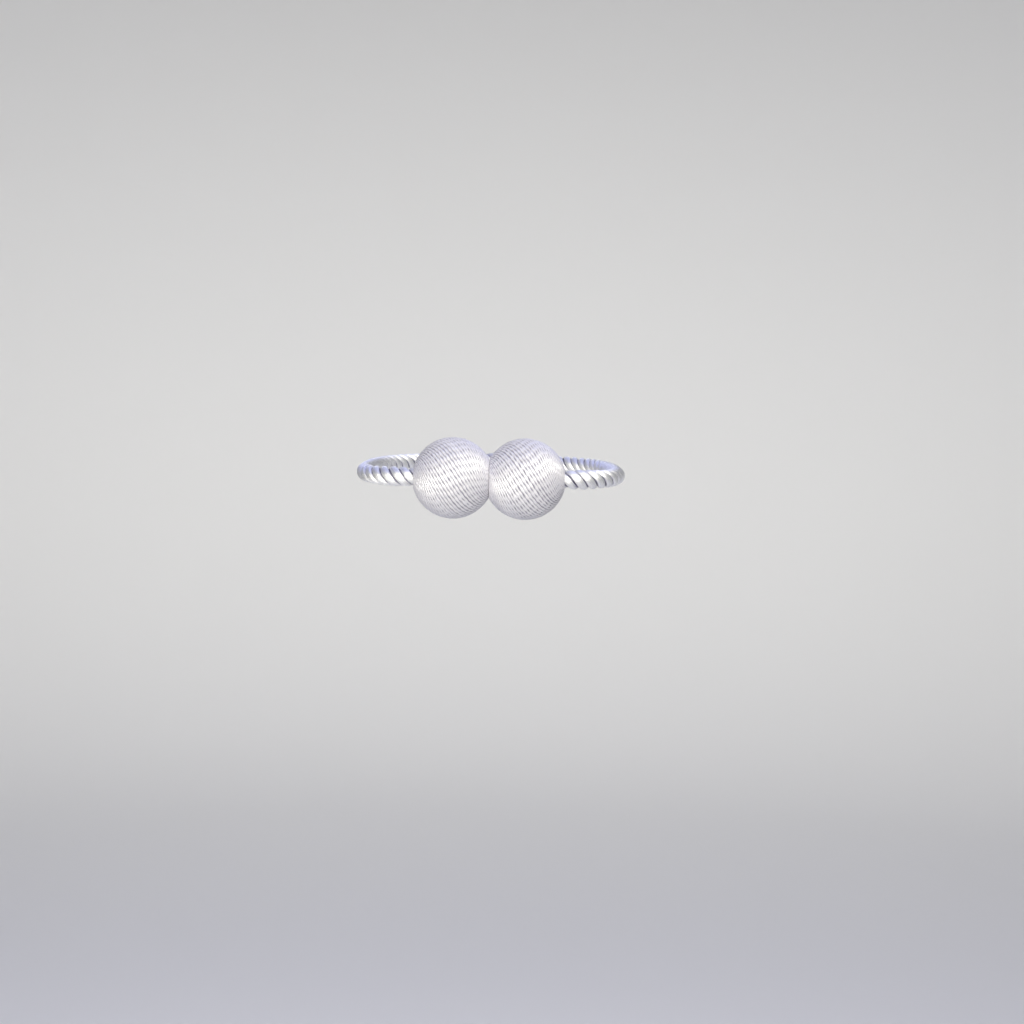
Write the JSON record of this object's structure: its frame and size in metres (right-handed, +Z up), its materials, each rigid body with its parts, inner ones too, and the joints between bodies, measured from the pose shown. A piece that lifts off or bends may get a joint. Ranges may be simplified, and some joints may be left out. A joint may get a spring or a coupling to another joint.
{
  "type": "curtain holdback",
  "caption": "Magnetic curtain holdback: yarn-wound balls that snap together at the front, joined by a twisted rope that loops round the gathered curtain.",
  "frame": {"origin": "middle of the rope's loop, where the gathered curtain passes through", "axes": "+Z up along the gathered curtain, +X from the left ball to the right ball, and the balls lie at -Y, towards the viewer"},
  "size_m": [0.1408, 0.1391, 0.042],
  "materials": {
    "core": "plain turned wood",
    "magnet": "bright nickel plate",
    "yarn": "silky pale lavender yarn",
    "rope": "silky pale lavender cord"
  },
  "bodies": {
    "root": {"ball_core_left": "core", "ball_core_right": "core", "magnet_left": "magnet", "magnet_right": "magnet", "yarn_cover_left": "yarn", "yarn_cover_right": "yarn", "rope": "rope"}
  },
  "joints": []
}
